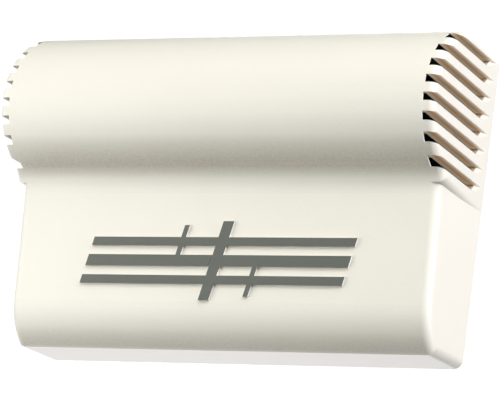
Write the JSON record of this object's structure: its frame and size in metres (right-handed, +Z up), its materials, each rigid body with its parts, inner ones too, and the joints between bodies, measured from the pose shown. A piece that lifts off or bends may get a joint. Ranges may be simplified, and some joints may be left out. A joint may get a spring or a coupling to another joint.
{
  "type": "doorbell chime box",
  "caption": "Wired doorbell chime: a moulded louvred cover with a round bulge and a stripe trim, over a base plate with tone bars, a solenoid striker and a terminal block.",
  "frame": {"origin": "centre of the base plate on its back face, in the plane of the wall", "axes": "+X along the box to the right as seen from the front, +Y into the wall, +Z up"},
  "size_m": [0.1974, 0.0563, 0.1265],
  "materials": {
    "cover_plastic": "fine spark-eroded texture, warm ivory",
    "trim_metal": "satin, dark grey",
    "base_plastic": "fine matt, black",
    "bar_steel": "bright zinc plate over rolled steel",
    "grommet_rubber": "matt black",
    "pin_nylon": "natural nylon",
    "yoke_steel": "zinc plated, faint yellow passivation",
    "bobbin_nylon": "natural nylon",
    "winding_copper": "enamelled copper wire",
    "coil_tape": "yellow polyester tape",
    "screw_steel": "zinc plated",
    "core_steel": "turned, lightly oiled",
    "striker_nylon": "natural nylon",
    "spring_steel": "drawn spring wire",
    "block_plastic": "translucent white polyamide",
    "clamp_brass": "drawn brass tube",
    "lead_red": "red wire insulation",
    "lead_black": "black wire insulation"
  },
  "bodies": {
    "base": {"base_plate": "base_plastic", "upper_tone_bar": "bar_steel", "lower_tone_bar": "bar_steel", "grommet_upper_left": "grommet_rubber", "grommet_upper_right": "grommet_rubber", "grommet_lower_left": "grommet_rubber", "grommet_lower_right": "grommet_rubber", "tone_bar_pins": "pin_nylon", "solenoid_yoke": "yoke_steel", "solenoid_bobbin": "bobbin_nylon", "coil_winding": "winding_copper", "coil_tape": "coil_tape", "yoke_screws": "screw_steel", "return_spring": "spring_steel", "terminal_block": "block_plastic", "terminal_clamps": "clamp_brass", "terminal_screws": "screw_steel", "terminal_block_screw": "screw_steel", "coil_lead_left": "lead_red", "coil_lead_right": "lead_black"},
    "cover": {"cover": "cover_plastic", "stripe_trim": "trim_metal"},
    "plunger": {"plunger_core": "core_steel", "lower_striker": "striker_nylon", "upper_striker": "striker_nylon"}
  },
  "joints": [
    {"name": "cover_pull", "type": "slide", "parent": "base", "child": "cover", "axis": [0, -1, 0], "range_m": [0, 0.075]},
    {"name": "plunger_stroke", "type": "slide", "parent": "base", "child": "plunger", "axis": [0, 0, 1], "range_m": [-0.001, 0.0035], "stiffness_N_per_m": 120, "springref_m": 0.00076, "deforming": ["return_spring"]}
  ]
}
